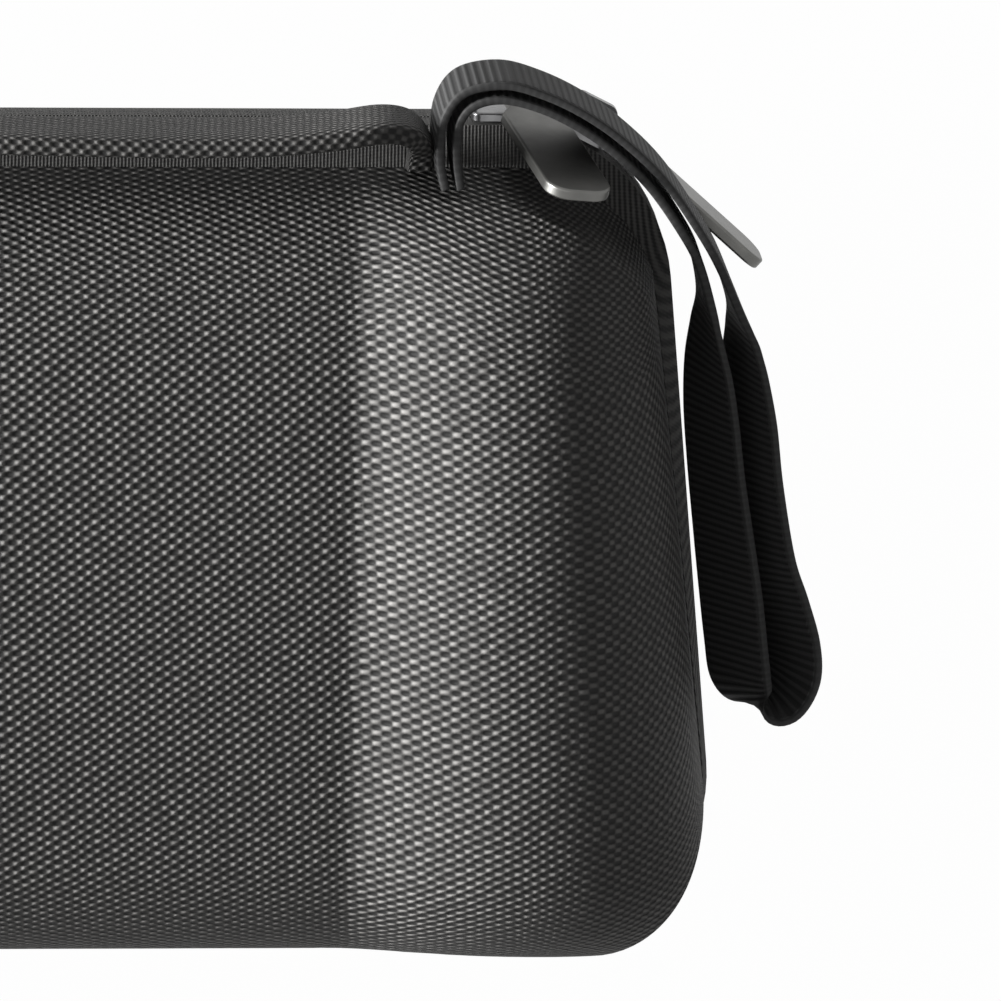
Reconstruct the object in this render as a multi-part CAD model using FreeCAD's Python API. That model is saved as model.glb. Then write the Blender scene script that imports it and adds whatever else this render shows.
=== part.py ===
import FreeCAD, Part
import math
import os
from FreeCAD import Vector

# Handheld console carrying case, lying on its flat back with the lid up.
# Millimetres. +X to the right, +Y to the handle side, +Z out of the lid.

# Driving dimensions
ZP = 26.0            # height of the zip's plane over the back face
RIM = 8.0            # height of each shell's rim over or under the zip's plane
WALL = 4.0           # laminated wall
LID_FLAT = 34.8      # lid's middle panel over the zip's plane
LID_CREST = 45.0     # crest of each side bulge over the zip's plane
CREASE_X = 91.5      # foot of the bulge
TRAY_TOP = ZP - 5.5      # top of the foam insert
RECESS_FLOOR = ZP - 17.0     # bottom of the console's recess
CHAIN_T = 1.8        # thickness of the zip's coil
TAPE_T = 0.6         # thickness of the zip's tape
COIL_IN = 0.5        # coil's inner edge from the zip's plane
COIL_OUT = 3.1       # coil's outer edge from the zip's plane
TAPE_IN = 0.4        # tape's edge from the zip's plane, over the coil
TAPE_OUT = 5.0       # where the tape turns in towards the rim
CHAIN_END_X = 110.0  # where the zip ends on the hinge side
HINGE_Y = -70.0      # fold of the hinge strip
BASE_ROUND = 7.0     # outer round along the back face
LINING_ROUND = 4.0   # the same round inside
FAR = 200.0          # beyond the case on every side, for cutting

# Named clearances
SEAT = 0.2           # soft pieces that lie on one another
SLIDE = 0.4          # slider to coil

# Outlines: top y, bottom y, half width at y 35 and at y -40, top and bottom corner radius
KEEL = (65.0, -70.0, 142.6, 150.0, 27.0, 28.0)
RIM_LINE = (59.0, -69.3, 140.4, 149.5, 25.0, 28.0)
# How far each side of the lid's wall leans in per millimetre of height
LID_DRAFT = (0.14, 0.06, 0.09, 0.07)
BASE_DRAFT = (0.16, 0.10, 0.12, 0.10)


def corner_centres(line):
    """Centres of the upper and lower right corner arcs, and the side's outward direction."""
    top, bottom, high, low, r_top, r_bottom = line
    lean = math.atan2(low - high, 75.0)
    along = Vector(-math.sin(lean), math.cos(lean), 0)
    out = Vector(math.cos(lean), math.sin(lean), 0)
    found = []
    for r, y in ((r_top, top - r_top), (r_bottom, bottom + r_bottom)):
        k = Vector(low, -40.0, 0) - out * r
        found.append(k + along * ((y - k.y) / along.y))
    return found[0], found[1], out


def inset(line, d):
    top, bottom, high, low, r_top, r_bottom = line
    return (top - d, bottom + d, high - d, low - d, max(r_top - d, 4.0), max(r_bottom - d, 4.0))


def leaned(line, drafts, height):
    top, bottom, high, low, r_top, r_bottom = line
    return (top - drafts[0] * height, bottom + drafts[1] * height, high - drafts[2] * height,
            low - drafts[3] * height, r_top, r_bottom)


def side_x(line, y):
    return line[3] + (line[2] - line[3]) * (y + 40.0) / 75.0


def outline(line, z):
    """Closed wire of four lines and four arcs, the same edges in the same order each time."""
    top, bottom, high, low, r_top, r_bottom = line
    ct, cb, out = corner_centres(line)
    a = Vector(ct.x, top, 0)
    b = ct + out * r_top
    c = cb + out * r_bottom
    d = Vector(cb.x, bottom, 0)
    mid_t = (Vector(0, 1, 0) + out)
    mid_t.normalize()
    mid_b = (Vector(0, -1, 0) + out)
    mid_b.normalize()
    mt = ct + mid_t * r_top
    mb = cb + mid_b * r_bottom

    def left(p):
        return Vector(-p.x, p.y, p.z)

    up = Vector(0, 0, z)
    pts = [left(a), a, mt, b, c, mb, d, left(d), left(mb), left(c), left(b), left(mt)]
    pts = [p + up for p in pts]
    e = [
        Part.LineSegment(pts[0], pts[1]).toShape(),
        Part.Arc(pts[1], pts[2], pts[3]).toShape(),
        Part.LineSegment(pts[3], pts[4]).toShape(),
        Part.Arc(pts[4], pts[5], pts[6]).toShape(),
        Part.LineSegment(pts[6], pts[7]).toShape(),
        Part.Arc(pts[7], pts[8], pts[9]).toShape(),
        Part.LineSegment(pts[9], pts[10]).toShape(),
        Part.Arc(pts[10], pts[11], pts[0]).toShape(),
    ]
    return Part.Wire(e)


def loft(sections):
    return Part.makeLoft([outline(line, z) for line, z in sections], True, True)


def ring(sections, thick):
    inner = [(inset(line, thick), z) for line, z in sections]
    return loft(sections).cut(loft(inner))


def lid_wall(d, z0, z1):
    """Solid within the lid's leaning wall, inset by d, between two heights over the zip's plane."""
    a = inset(leaned(RIM_LINE, LID_DRAFT, z0 - RIM), d)
    b = inset(leaned(RIM_LINE, LID_DRAFT, z1 - RIM), d)
    return loft([(a, ZP + z0), (b, ZP + z1)])


def base_wall(d, z0, z1):
    """The same under the zip's plane; z0 and z1 are depths under it."""
    a = inset(leaned(RIM_LINE, BASE_DRAFT, z1 - RIM), d)
    b = inset(leaned(RIM_LINE, BASE_DRAFT, z0 - RIM), d)
    return loft([(a, ZP - z1), (b, ZP - z0)])


def box(x0, x1, y0, y1, z0, z1):
    return Part.makeBox(x1 - x0, y1 - y0, z1 - z0, Vector(x0, y0, z0))


def arc_points(cy, cz, r, a0, a1, n):
    """Points of an arc; angles in degrees from +Z towards +Y."""
    out = []
    for i in range(n):
        a = math.radians(a0 + (a1 - a0) * i / (n - 1.0))
        out.append((cy + r * math.sin(a), cz + r * math.cos(a)))
    return out


# Profile of the lid's middle panel from the handle side to the hinge side, heights over the zip's plane
def middle_profile():
    pts = [(61.0, -9.0), (59.6, 3.0)]
    pts += arc_points(36.6, 9.4, 22.0, 84.0, 16.0, 9)
    pts += [(37.0, 31.9), (30.0, 33.0), (20.0, 34.1), (8.0, 34.8), (-6.0, 34.7), (-20.0, 33.9), (-34.0, 32.6)]
    pts += arc_points(-43.6, 6.4, 25.0, -8.0, -84.0, 9)
    pts += [(-69.4, 1.0), (-70.6, -9.0)]
    return pts


# Profile across a bulge: u from 0 at the crease to 1 at the side wall, heights over the zip's plane
BULGE = [(0.00, 34.8), (0.045, 35.6), (0.10, 37.3), (0.18, 39.9), (0.27, 42.3), (0.38, 44.4), (0.49, 45.2),
         (0.60, 45.0), (0.70, 43.6), (0.79, 40.9), (0.865, 37.2), (0.92, 32.6), (0.96, 26.5), (0.985, 18.5),
         (1.0, 9.0), (1.015, -2.0), (1.04, -14.0)]
FLAT_X = (0.0, 30.0, 60.0, 80.0, 87.5, 90.0)


def lid_net(depth):
    """Control net of the lid's outer skin, or of its inner face at the given depth under it."""
    rows = middle_profile()
    grid = []
    for y, h in rows:
        edge = side_x(RIM_LINE, y) - 0.6
        right = [(x, h) for x in FLAT_X]
        for u, q in BULGE:
            x = CREASE_X + u * (edge - CREASE_X)
            lift = q / LID_FLAT
            if h > 0:
                z = h * lift if lift > 0 else 6.0 * lift * LID_FLAT / 9.0
            else:
                z = h + min(0.0, q - 9.0)
            right.append((x, z))
        line = [Vector(-x, y, z) for x, z in reversed(right[1:])] + [Vector(x, y, z) for x, z in right]
        grid.append(line)
    if depth > 0:
        grid = offset_net(grid, depth)
    return grid


def offset_net(grid, depth):
    n_rows = len(grid)
    n_cols = len(grid[0])
    out = []
    for i in range(n_rows):
        row = []
        for j in range(n_cols):
            du = grid[min(i + 1, n_rows - 1)][j] - grid[max(i - 1, 0)][j]
            dv = grid[i][min(j + 1, n_cols - 1)] - grid[i][max(j - 1, 0)]
            n = du.cross(dv)
            n.normalize()
            if n.z < 0:
                n = n * -1.0
            row.append(grid[i][j] - n * depth)
        out.append(row)
    return out


def skin_solid(grid, floor):
    """Everything under the smooth skin of the net, down to a level."""
    n_u = len(grid)
    n_v = len(grid[0])
    surface = Part.BSplineSurface()

    def knots(n):
        count = n - 2
        mults = [4] + [1] * (count - 2) + [4]
        return mults, [float(k) for k in range(count)]

    mu, ku = knots(n_u)
    mv, kv = knots(n_v)
    lifted = [[p + Vector(0, 0, ZP) for p in row] for row in grid]
    surface.buildFromPolesMultsKnots(lifted, mu, mv, ku, kv, False, False, 3, 3)
    face = surface.toShape()
    return face.extrude(Vector(0, 0, floor - FAR))


def ribbon(stations):
    """Band through rectangular sections: centre, width vector, width, thickness vector, thickness."""
    wires = []
    for centre, w, width, t, thick in stations:
        a = centre - w * (width / 2.0) - t * (thick / 2.0)
        b = centre + w * (width / 2.0) - t * (thick / 2.0)
        c = centre + w * (width / 2.0) + t * (thick / 2.0)
        d = centre - w * (width / 2.0) + t * (thick / 2.0)
        wires.append(Part.makePolygon([a, b, c, d, a]))
    return Part.makeLoft(wires, True, False)


def band_face(points, thick, z):
    """Flat face of a strip of constant thickness along a smooth open curve in XY."""
    curve = Part.BSplineCurve()
    curve.interpolate([Vector(x, y, z) for x, y in points])
    n = 8 * len(points)
    one = []
    two = []
    p0 = curve.FirstParameter
    p1 = curve.LastParameter
    for i in range(n + 1):
        p = p0 + (p1 - p0) * i / float(n)
        at = curve.value(p)
        t = curve.tangent(p)[0]
        side = Vector(-t.y, t.x, 0)
        one.append(at + side * (thick / 2.0))
        two.append(at - side * (thick / 2.0))
    a = Part.BSplineCurve()
    a.interpolate(one[::4])
    b = Part.BSplineCurve()
    b.interpolate(two[::4])
    edges = [
        a.toShape(),
        Part.LineSegment(a.EndPoint, b.EndPoint).toShape(),
        b.toShape(),
        Part.LineSegment(b.StartPoint, a.StartPoint).toShape(),
    ]
    return Part.Face(Part.Wire(Part.__sortEdges__(edges)))


# How far the straight wall is carried past the crest, before the domed skin cuts it off
WALL_OVER = 11.0


def lid_form(d, z0):
    """The lid's domed form at a depth d under its outer face, from a height over the zip's plane."""
    return lid_wall(d, z0, LID_CREST + WALL_OVER).common(skin_solid(lid_net(d), 0.0))


# Lid shell: fabric, moulded core and lining in one laminate
def make_lid_shell():
    return lid_form(0.0, RIM).cut(lid_form(WALL, RIM - 1.0))


# Base shell: a plain tray with a flat back and rounded lower edges
def make_base_shell():
    outer = base_wall(0.0, RIM, ZP)
    low = [e for e in outer.Edges if e.BoundBox.ZMax < 0.01]
    outer = outer.makeFillet(BASE_ROUND, low)
    inner = base_wall(WALL, RIM - 1.0, ZP - WALL)
    low = [e for e in inner.Edges if e.BoundBox.ZMax < WALL + 0.01]
    inner = inner.makeFillet(LINING_ROUND, low)
    return outer.cut(inner)


def chain_cut(shape):
    """Removes the stretch on the hinge side where there is no zip."""
    return shape.cut(box(-CHAIN_END_X, CHAIN_END_X, HINGE_Y - 5.0, HINGE_Y + 20.0, -10.0, 90.0))


def make_coil(sign):
    z0 = ZP + sign * COIL_IN
    z1 = ZP + sign * COIL_OUT
    lo, hi = min(z0, z1), max(z0, z1)
    under_tape = inset(KEEL, TAPE_T)
    return chain_cut(ring([(under_tape, lo), (under_tape, hi)], CHAIN_T))


def make_tape(sign):
    """Flat over the coil, then turned in to the rim, then flat on the rim's edge."""
    seat = KEEL
    flat = ring([(seat, ZP + TAPE_IN), (seat, ZP + TAPE_OUT)], TAPE_T)
    edge = inset(RIM_LINE, 0.35)
    slope_out = loft([(seat, ZP + TAPE_OUT), (edge, ZP + RIM)])
    slope_in = loft([(inset(seat, 0.8), ZP + TAPE_OUT), (inset(edge, 0.8), ZP + RIM)])
    slope = slope_out.cut(slope_in)
    lip = ring([(edge, ZP + RIM - TAPE_T), (edge, ZP + RIM)], WALL - 0.35)
    lip = lip.cut(slope_out.cut(slope_in))
    tape = flat.fuse([slope, lip.common(slope_out)])
    tape = chain_cut(tape.removeSplitter())
    if sign < 0:
        tape = tape.mirror(Vector(0, 0, ZP), Vector(0, 0, 1))
    return tape


# Seam binding inside each rim
BINDING_T = 0.9
BINDING_W = 5.5


def make_binding(sign):
    if sign > 0:
        band = lid_form(WALL, RIM + SEAT).cut(lid_form(WALL + BINDING_T, RIM - 1.0))
        return band.cut(box(-FAR, FAR, -FAR, FAR, ZP + RIM + BINDING_W, ZP + FAR))
    low = RIM + BINDING_W - 0.5
    return base_wall(WALL, RIM + SEAT, low).cut(base_wall(WALL + BINDING_T, RIM - 1.0, low + 1.0))


# Hinge strip between the two rims on the hinge side, bowed out a little
STRIP_T = 0.9


def make_hinge_strip():
    x = CHAIN_END_X - 2.5
    edge = RIM_LINE[1] + 0.3
    reach = RIM - SEAT
    profile = [(edge, -reach), (edge - 0.75, -RIM * 0.5), (edge - 1.1, 0.0), (edge - 0.75, RIM * 0.5), (edge, reach)]
    outer = Part.BSplineCurve()
    outer.interpolate([Vector(-x, y, ZP + z) for y, z in profile])
    inner = Part.BSplineCurve()
    inner.interpolate([Vector(-x, y + STRIP_T, ZP + z) for y, z in profile])
    edges = [outer.toShape(), inner.toShape(),
             Part.LineSegment(outer.StartPoint, inner.StartPoint).toShape(),
             Part.LineSegment(outer.EndPoint, inner.EndPoint).toShape()]
    face = Part.Face(Part.Wire(Part.__sortEdges__(edges)))
    return face.extrude(Vector(2.0 * x, 0, 0))


# End stops clipped over the last coils
def make_stops(sign):
    out = []
    for side in (-1, 1):
        x0 = side * (CHAIN_END_X - 1.6)
        block = box(min(x0, x0 - side * 2.0), max(x0, x0 - side * 2.0), HINGE_Y + 0.1, HINGE_Y + 2.4,
                    ZP + min(sign * COIL_IN, sign * COIL_OUT), ZP + max(sign * COIL_IN, sign * COIL_OUT))
        block.translate(Vector(side * 1.6, 0, 0))
        out.append(block)
    return Part.makeCompound(out)


# Zip slider at the origin: travel along X, across the chain along Z, outwards along Y.
# Its neck stands at the end given by front.
PLATE_X = 4.0
PLATE_Z = 4.2
PLATE_T = 1.3
ARCH_X = 3.9
ARCH_Z = 0.8
ARCH_T = 1.0
PLATE_TOP = SLIDE + PLATE_T
ARCH_TOP = PLATE_TOP + 5.0
LEG_X = ARCH_X - 0.45        # middle of each of the arch's two legs
NECK_HALF = TAPE_IN - 0.15
IN_PLATE_TOP = -(CHAIN_T + TAPE_T + SLIDE + SEAT)


def make_slider(front):
    outer = box(-PLATE_X, PLATE_X, SLIDE, PLATE_TOP, -PLATE_Z, PLATE_Z)
    outer = outer.makeFillet(1.5, [e for e in outer.Edges if e.BoundBox.YLength > 1.0])
    outer = outer.makeFillet(0.4, [e for e in outer.Edges if e.BoundBox.YMin > PLATE_TOP - 0.01])
    inner = box(-PLATE_X, PLATE_X, IN_PLATE_TOP - 1.0, IN_PLATE_TOP, -COIL_OUT, COIL_OUT)
    inner = inner.makeFillet(1.2, [e for e in inner.Edges if e.BoundBox.YLength > 0.8])
    neck = box(2.2, 3.9, IN_PLATE_TOP - 0.4, SLIDE + 0.4, -NECK_HALF, NECK_HALF)
    if front < 0:
        neck = neck.mirror(Vector(0, 0, 0), Vector(1, 0, 0))
    arch = box(-ARCH_X, ARCH_X, PLATE_TOP - 0.3, ARCH_TOP, -ARCH_Z, ARCH_Z)
    arch = arch.makeFillet(1.6, [e for e in arch.Edges
                                 if e.BoundBox.YMin > ARCH_TOP - 0.01 and e.BoundBox.XLength < 0.01])
    hole = box(-ARCH_X + 0.9, ARCH_X - 0.9, PLATE_TOP, ARCH_TOP - ARCH_T, -3.0, 3.0)
    hole = hole.makeFillet(0.8, [e for e in hole.Edges
                                 if e.BoundBox.YMin > PLATE_TOP + 0.1 and e.BoundBox.XLength < 0.01])
    return outer.fuse([inner, neck, arch.cut(hole)]).removeSplitter()


# Pull tab at the origin: its eye round the slider's arch, its blade along +X, its width along Z
PULL_LONG = 36.0
PULL_WIDE = 10.6
PULL_THICK = 1.9
EYE_WIRE = 1.0
EYE_OUT = 3.0
EYE_IN = 1.8
EYE_END = 6.6
SHOULDER = 10.0


def make_pull():
    half = PULL_WIDE / 2.0
    tip = 3.6
    pts = [(EYE_END, -EYE_OUT), (SHOULDER, -half), (PULL_LONG - tip, -half), (PULL_LONG, -half + tip),
           (PULL_LONG, half - tip), (PULL_LONG - tip, half), (SHOULDER, half), (EYE_END, EYE_OUT)]
    c = tip * (1.0 - math.sqrt(0.5))
    v = [Vector(x, -PULL_THICK / 2.0, z) for x, z in pts]
    low_mid = Vector(PULL_LONG - c, -PULL_THICK / 2.0, -half + c)
    high_mid = Vector(PULL_LONG - c, -PULL_THICK / 2.0, half - c)
    edges = [Part.LineSegment(v[0], v[1]).toShape(), Part.LineSegment(v[1], v[2]).toShape(),
             Part.Arc(v[2], low_mid, v[3]).toShape(), Part.LineSegment(v[3], v[4]).toShape(),
             Part.Arc(v[4], high_mid, v[5]).toShape(), Part.LineSegment(v[5], v[6]).toShape(),
             Part.LineSegment(v[6], v[7]).toShape(), Part.LineSegment(v[7], v[0]).toShape()]
    blade = Part.Face(Part.Wire(edges)).extrude(Vector(0, PULL_THICK, 0))
    rims = [e for e in blade.Edges if e.BoundBox.YLength < 0.01 and e.BoundBox.XMax > EYE_END + 0.1]
    blade = blade.makeFillet(0.4, rims)
    w = EYE_WIRE / 2.0
    eye = box(-w, EYE_END + 0.6, -w, w, -EYE_OUT, EYE_OUT)
    eye = eye.cut(box(w, EYE_END - 0.2, -2.0, 2.0, -EYE_IN, EYE_IN))
    return blade.fuse(eye).removeSplitter()


def turn(shape, x_axis, y_axis, origin):
    """Puts a piece made at the origin into its place: where its +X and +Y go."""
    x = Vector(*x_axis)
    x.normalize()
    y = Vector(*y_axis)
    y = y - x * x.dot(y)
    y.normalize()
    z = x.cross(y)
    m = FreeCAD.Matrix(x.x, y.x, z.x, origin[0], x.y, y.y, z.y, origin[1],
                       x.z, y.z, z.z, origin[2], 0, 0, 0, 1)
    out = shape.copy()
    out.Placement = FreeCAD.Placement(m)
    return out


# Where the two sliders stand: one at the end of the straight run, one a little way round the corner
KEEL_CORNER = corner_centres(KEEL)[0]
LEFT_X = KEEL_CORNER.x - 0.8
RIGHT_PHI = math.radians(27.0)
EYE_N = PLATE_TOP + 2.7      # right pull's eye over the tape's face, under the slider's arch


def right_place():
    r = KEEL[4]
    n = (math.sin(RIGHT_PHI), math.cos(RIGHT_PHI), 0.0)
    t = (math.cos(RIGHT_PHI), -math.sin(RIGHT_PHI), 0.0)
    return (KEEL_CORNER.x + r * n[0], KEEL_CORNER.y + r * n[1], ZP), t, n


# The left pull stands out over the lid's corner, its eye turned round the arch's right leg
LEFT_PULL_DIR = (0.224, -0.2205, 0.949)
LEFT_PULL_ACROSS = (0.957, -0.136, -0.2575)
LEFT_EYE_N = PLATE_TOP + 1.7
EYE_TO_LEG = 1.9


def left_pull():
    d = Vector(*LEFT_PULL_DIR)
    d.normalize()
    w = Vector(*LEFT_PULL_ACROSS)
    y = w.cross(d)
    leg = Vector(LEFT_X + LEG_X, KEEL[0] + LEFT_EYE_N, ZP)
    at = leg - d * EYE_TO_LEG
    return turn(make_pull(), LEFT_PULL_DIR, (y.x, y.y, y.z), (at.x, at.y, at.z))


# The right pull trails clear of the case's side all the way round the corner
RIGHT_PULL_ANGLE = math.radians(-42.0)


def right_pull():
    origin, t, n = right_place()
    at = (origin[0] + n[0] * EYE_N, origin[1] + n[1] * EYE_N, ZP)
    d = (math.cos(RIGHT_PULL_ANGLE), math.sin(RIGHT_PULL_ANGLE), 0.0)
    return turn(make_pull(), d, (-d[1], d[0], 0.0), at)


# Carry handle: a padded band standing off the handle side, both ends gathered into the lid's seam
HANDLE_T = 3.0
HANDLE_LOW = 9.6
HANDLE_HIGH = 32.0


def make_handle():
    # x, centre y, low and high z over the zip's plane, the way it runs in degrees
    right = [(x, y, HANDLE_LOW, HANDLE_HIGH, 0.0) for x, y in (
        (0.0, 66.6), (20.0, 66.7), (38.0, 66.4), (54.0, 65.7), (66.0, 65.4), (78.0, 65.9), (88.0, 67.2))]
    right += [(95.0, 68.3, 9.5, 30.5, 0.0), (99.4, 67.6, 9.3, 27.5, -45.0), (101.4, 64.8, 9.0, 21.5, -80.0),
              (101.8, 62.0, 8.6, 16.0, -90.0), (101.8, 59.3, 8.4, 12.4, -90.0)]
    stations = []
    for side, row in ((-1, list(reversed(right[1:]))), (1, right)):
        for x, y, a, b, deg in row:
            r = math.radians(side * deg)
            stations.append((Vector(side * x, y, ZP + (a + b) / 2.0), Vector(0, 0, 1), b - a,
                             Vector(-math.sin(r), math.cos(r), 0), HANDLE_T))
    return ribbon(stations)


# Wrist strap: a loop of ribbed webbing from the lid's seam, leaning outwards
STRAP_T = 1.5
STRAP_W = 15.0
STRAP_LOW = RIM + 0.4
STRAP_LEAN = (0.45, 0.0, 0.893)
STRAP_OUT = [(105.1, 59.4), (103.5, 64.0), (103.4, 70.0), (105.2, 76.6), (109.8, 80.4), (115.6, 80.0),
             (122.2, 77.6), (129.0, 72.2), (134.6, 64.8), (139.0, 56.0), (143.0, 47.8), (146.2, 38.5),
             (148.6, 28.5), (150.6, 17.5), (152.4, 7.0), (154.6, -1.0), (157.8, -8.2), (160.0, -15.0),
             (160.2, -21.0), (157.6, -25.6), (153.6, -26.6), (151.0, -23.4), (151.2, -17.6),
             (150.8, -9.5), (149.8, -1.0), (148.8, 8.0), (147.8, 16.0), (146.2, 24.0), (144.2, 32.0),
             (141.6, 40.5), (137.6, 49.6), (133.0, 59.4), (127.7, 69.2), (121.2, 75.3), (115.0, 77.8),
             (110.4, 77.8), (107.2, 74.6), (106.0, 69.0), (106.2, 63.6), (107.4, 59.4)]


def make_strap():
    face = band_face(STRAP_OUT, STRAP_T, ZP + STRAP_LOW)
    lean = Vector(*STRAP_LEAN)
    lean.normalize()
    return face.extrude(lean * STRAP_W)


# Foam insert with the console's recess
def make_tray():
    side = WALL + BINDING_T + SEAT
    body = base_wall(side, ZP - TRAY_TOP, ZP - WALL - SEAT)
    low = [e for e in body.Edges if e.BoundBox.ZMax < WALL + SEAT + 0.01]
    body = body.makeFillet(LINING_ROUND + SEAT, low)
    recess = box(-128.0, 128.0, -52.0, 46.0, RECESS_FLOOR, TRAY_TOP + 5.0)
    tall = [e for e in recess.Edges if e.BoundBox.ZLength > 5.0]
    recess = recess.makeFillet(24.0, tall)
    body = body.cut(recess)
    for side in (-1, 1):
        scoop = Part.makeCylinder(13.0, 20.0, Vector(side * 30.0, 46.0, RECESS_FLOOR + 3.0))
        scoop = scoop.common(box(-FAR, FAR, 30.0, 52.0, 0, FAR))
        body = body.cut(scoop)
    return body


# Hold-down straps across the recess and the patches that they close on
HOLD_X = 62.0
HOLD_W = 25.0


def make_hold(side):
    x0 = side * HOLD_X - HOLD_W / 2.0
    z = TRAY_TOP + SEAT + 1.0
    pts = [(-59.0, TRAY_TOP + SEAT), (-56.0, TRAY_TOP + SEAT), (-50.0, z), (0.0, z + 1.2), (42.0, z),
           (50.0, TRAY_TOP + SEAT + 1.7), (55.5, TRAY_TOP + SEAT + 1.7)]
    low = Part.BSplineCurve()
    low.interpolate([Vector(x0, y, h) for y, h in pts])
    high = Part.BSplineCurve()
    high.interpolate([Vector(x0, y, h + 1.4) for y, h in pts])
    edges = [low.toShape(), high.toShape(),
             Part.LineSegment(low.StartPoint, high.StartPoint).toShape(),
             Part.LineSegment(low.EndPoint, high.EndPoint).toShape()]
    return Part.Face(Part.Wire(Part.__sortEdges__(edges))).extrude(Vector(HOLD_W, 0, 0))


def make_patch(side):
    x0 = side * HOLD_X - HOLD_W / 2.0
    return box(x0, x0 + HOLD_W, 47.0, 55.5, TRAY_TOP, TRAY_TOP + 1.6)


# Mesh pocket over the lid's hollow, with an elastic hem and a sewn trim round its other edges
MESH_Z = RIM + 8.0
MESH_T = 0.7
MESH_TOP_Y = 30.0
MESH_EDGE = 1.5
HEM_WIDE = 9.0


def lid_slab(d, low, high, y0, y1):
    return lid_form(d, low - 1.0).common(box(-FAR, FAR, y0, y1, ZP + low, ZP + high))


def make_mesh():
    return lid_slab(WALL + MESH_EDGE, MESH_Z, MESH_Z + MESH_T, -90, MESH_TOP_Y)


def make_mesh_trim():
    low = MESH_Z - 0.6
    high = MESH_Z + MESH_T + 0.6
    trim = lid_slab(WALL, low, high, -90, MESH_TOP_Y)
    return trim.cut(lid_form(WALL + MESH_EDGE, low - 3.0))


def make_mesh_hem():
    mid = MESH_Z + MESH_T / 2.0
    return lid_slab(WALL + SEAT, mid - 0.8, mid + 0.8, MESH_TOP_Y, MESH_TOP_Y + HEM_WIDE)


def main():
    os.makedirs("parts", exist_ok=True)
    origin, t, n = right_place()
    nodes = {
        "lid_shell": make_lid_shell(),
        "base_shell": make_base_shell(),
        "lid_zip_coil": make_coil(1),
        "base_zip_coil": make_coil(-1),
        "lid_zip_tape": make_tape(1),
        "base_zip_tape": make_tape(-1),
        "lid_seam_binding": make_binding(1),
        "base_seam_binding": make_binding(-1),
        "lid_zip_stops": make_stops(1),
        "base_zip_stops": make_stops(-1),
        "hinge_strip": make_hinge_strip(),
        "left_slider": turn(make_slider(1), (1, 0, 0), (0, 1, 0), (LEFT_X, KEEL[0], ZP)),
        "right_slider": turn(make_slider(-1), t, n, origin),
        "left_pull": left_pull(),
        "right_pull": right_pull(),
        "carry_handle": make_handle(),
        "wrist_strap": make_strap(),
        "foam_insert": make_tray(),
        "left_hold_strap": make_hold(-1),
        "right_hold_strap": make_hold(1),
        "left_loop_patch": make_patch(-1),
        "right_loop_patch": make_patch(1),
        "mesh_pocket": make_mesh(),
        "mesh_trim": make_mesh_trim(),
        "mesh_hem": make_mesh_hem(),
    }
    for name, shape in nodes.items():
        if not shape.isValid():
            print("not valid:", name)
        b = shape.BoundBox
        print(name, "solids", len(shape.Solids), "vol %.0f" % shape.Volume,
              "x %.1f %.1f y %.1f %.1f z %.1f %.1f" % (b.XMin, b.XMax, b.YMin, b.YMax, b.ZMin, b.ZMax))
        shape.exportStep("parts/" + name + ".step")


main()
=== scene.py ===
import math
import bmesh
import bpy
from mathutils import Matrix, Vector, noise


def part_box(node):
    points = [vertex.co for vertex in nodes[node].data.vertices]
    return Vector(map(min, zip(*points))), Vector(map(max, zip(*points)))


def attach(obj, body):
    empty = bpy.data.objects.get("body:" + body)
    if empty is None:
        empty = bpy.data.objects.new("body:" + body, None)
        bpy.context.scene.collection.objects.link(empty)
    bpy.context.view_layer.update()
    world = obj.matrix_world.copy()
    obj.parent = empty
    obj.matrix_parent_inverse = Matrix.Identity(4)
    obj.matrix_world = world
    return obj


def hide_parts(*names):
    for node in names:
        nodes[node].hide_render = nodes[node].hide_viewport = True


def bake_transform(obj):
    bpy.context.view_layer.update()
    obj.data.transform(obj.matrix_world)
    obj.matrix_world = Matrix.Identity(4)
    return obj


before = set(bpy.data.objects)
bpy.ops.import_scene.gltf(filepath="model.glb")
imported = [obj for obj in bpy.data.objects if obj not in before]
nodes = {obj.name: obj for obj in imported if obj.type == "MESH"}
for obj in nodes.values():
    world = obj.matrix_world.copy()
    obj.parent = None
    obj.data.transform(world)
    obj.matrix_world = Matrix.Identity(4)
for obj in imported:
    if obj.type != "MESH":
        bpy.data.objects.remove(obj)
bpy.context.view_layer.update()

# Camera: the photograph looks down on the closed lid, leaning a little to the handle side,
# and frames the right half of the front.
ZIP_PLANE = 0.026
LOOK_LEAN = math.radians(17.0)
LOOK_DISTANCE = 1.5
FRAME_WIDTH = 0.1581
FRAME_RIGHT = 0.1166
FRAME_UP = 0.0024
SENSOR_WIDTH = 36.0

back = Vector((0, math.sin(LOOK_LEAN), math.cos(LOOK_LEAN)))
upward = Vector((0, math.cos(LOOK_LEAN), -math.sin(LOOK_LEAN)))
middle = Vector((0, 0, ZIP_PLANE))
stand = middle + back * LOOK_DISTANCE
aim = middle + Vector((FRAME_RIGHT, 0, 0)) + upward * FRAME_UP
camera = bpy.data.objects.new("camera", bpy.data.cameras.new("camera"))
bpy.context.scene.collection.objects.link(camera)
z_axis = (stand - aim).normalized()
x_axis = upward.cross(z_axis).normalized()
y_axis = z_axis.cross(x_axis)
camera.matrix_world = Matrix.Translation(stand) @ Matrix((x_axis, y_axis, z_axis)).transposed().to_4x4()
camera.data.sensor_width = SENSOR_WIDTH
camera.data.lens = SENSOR_WIDTH * (stand - aim).length / FRAME_WIDTH
bpy.context.scene.camera = camera
bpy.context.scene.view_settings.view_transform = "Standard"


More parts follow.
